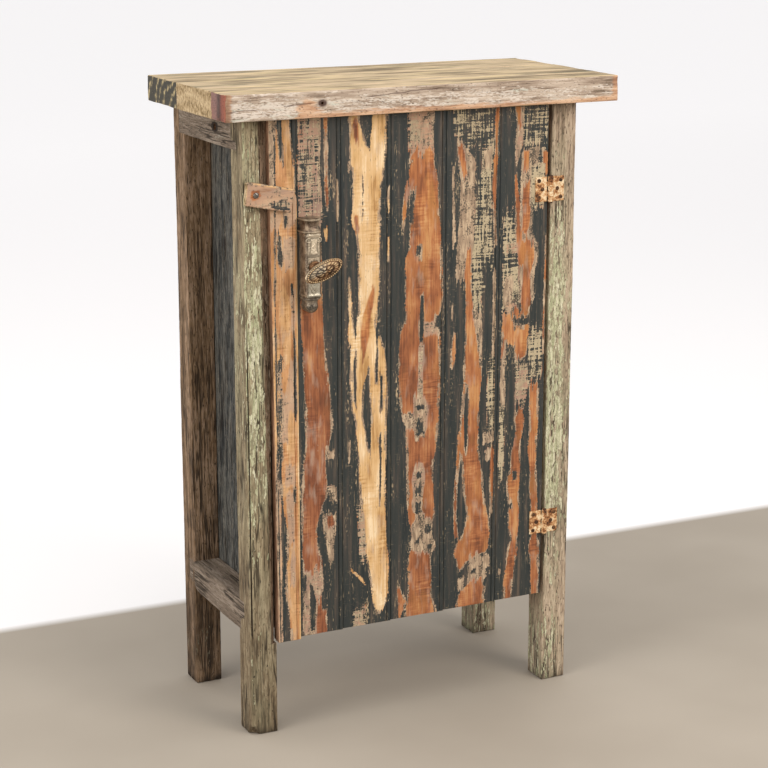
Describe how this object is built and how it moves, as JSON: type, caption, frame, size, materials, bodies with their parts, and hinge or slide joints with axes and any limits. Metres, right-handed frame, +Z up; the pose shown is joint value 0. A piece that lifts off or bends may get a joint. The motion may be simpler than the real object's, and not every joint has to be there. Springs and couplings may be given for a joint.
{
  "type": "cupboard",
  "caption": "small reclaimed-timber cupboard on square legs, with a thick plank top, a tongue-and-groove plank door on butt hinges, a cast-iron knob catch and a wooden turn button",
  "frame": {"origin": "on the floor, under the middle of the cupboard's bounding box", "axes": "+X to the right as seen from the front, +Y from the front to the back, +Z up; millimetres in the source, metres here"},
  "size_m": [0.66, 0.3704, 1],
  "materials": {
    "weathered_frame_wood": "weathered grey-brown softwood with remains of pale green paint",
    "worn_top_wood": "worn plank, pale where walked on and grey at the edges",
    "sanded_paint_wood": "dark paint sanded through to orange and cream wood, satin",
    "button_wood": "orange-pink worn wood",
    "inside_wood": "old dark blue-grey paint on rough board",
    "dowel_wood": "plain turned hardwood",
    "case_iron": "dark patinated cast iron",
    "knob_iron": "brown rusted cast iron",
    "catch_steel": "plain mild steel",
    "rusty_hinge_steel": "mild steel with yellow-orange rust",
    "fastener_steel": "dark oxidised steel"
  },
  "bodies": {
    "carcass": {"back_batten_bottom": "inside_wood", "back_batten_top": "inside_wood", "back_board_1": "inside_wood", "back_board_2": "inside_wood", "back_board_3": "inside_wood", "back_board_4": "inside_wood", "bottom_bearer_left": "inside_wood", "bottom_bearer_right": "inside_wood", "bottom_board_back": "inside_wood", "bottom_board_front": "inside_wood", "button_screw": "fastener_steel", "button_washer": "fastener_steel", "carcass_nails": "fastener_steel", "front_rail_bottom": "inside_wood", "front_rail_top": "inside_wood", "hinge_leg_screws": "fastener_steel", "hinge_lower_leg_leaf": "rusty_hinge_steel", "hinge_lower_pin": "rusty_hinge_steel", "hinge_upper_leg_leaf": "rusty_hinge_steel", "hinge_upper_pin": "rusty_hinge_steel", "keeper_block": "inside_wood", "keeper_screws": "fastener_steel", "leg_back_left": "weathered_frame_wood", "leg_back_right": "weathered_frame_wood", "leg_front_left": "weathered_frame_wood", "leg_front_right": "weathered_frame_wood", "rail_dowels": "dowel_wood", "shelf_board": "inside_wood", "shelf_cleat_left": "inside_wood", "shelf_cleat_right": "inside_wood", "side_panel_left": "inside_wood", "side_panel_right": "inside_wood", "side_rail_bottom_left": "weathered_frame_wood", "side_rail_bottom_right": "weathered_frame_wood", "side_rail_top_left": "weathered_frame_wood", "side_rail_top_right": "weathered_frame_wood", "top_dowels": "dowel_wood", "top_plank_back": "worn_top_wood", "top_plank_front": "worn_top_wood", "top_plank_middle": "worn_top_wood"},
    "door": {"case_bolts": "catch_steel", "door_board_1": "sanded_paint_wood", "door_board_2": "sanded_paint_wood", "door_board_3": "sanded_paint_wood", "door_board_4": "sanded_paint_wood", "door_board_5": "sanded_paint_wood", "door_board_6": "sanded_paint_wood", "door_ledge_bottom": "inside_wood", "door_ledge_top": "inside_wood", "handle_case": "case_iron", "hinge_door_screws": "fastener_steel", "hinge_lower_door_leaf": "rusty_hinge_steel", "hinge_upper_door_leaf": "rusty_hinge_steel", "ledge_screws": "fastener_steel"},
    "knob": {"knob": "knob_iron", "door_catch": "catch_steel", "catch_nut": "catch_steel"},
    "turn_button": {"turn_button": "button_wood"}
  },
  "joints": [
    {"name": "door_hinge", "type": "hinge", "parent": "carcass", "child": "door", "pos_m": [0.22325, -0.119, 0.552], "axis": [0, 0, 1], "range_deg": [0, 180]},
    {"name": "knob_turn", "type": "hinge", "parent": "door", "child": "knob", "pos_m": [-0.1929, -0.11475, 0.74], "axis": [0, 1, 0], "range_deg": [0, 90]},
    {"name": "button_turn", "type": "hinge", "parent": "carcass", "child": "turn_button", "pos_m": [-0.2785, -0.12115, 0.8505], "axis": [0, 1, 0], "continuous": true}
  ]
}
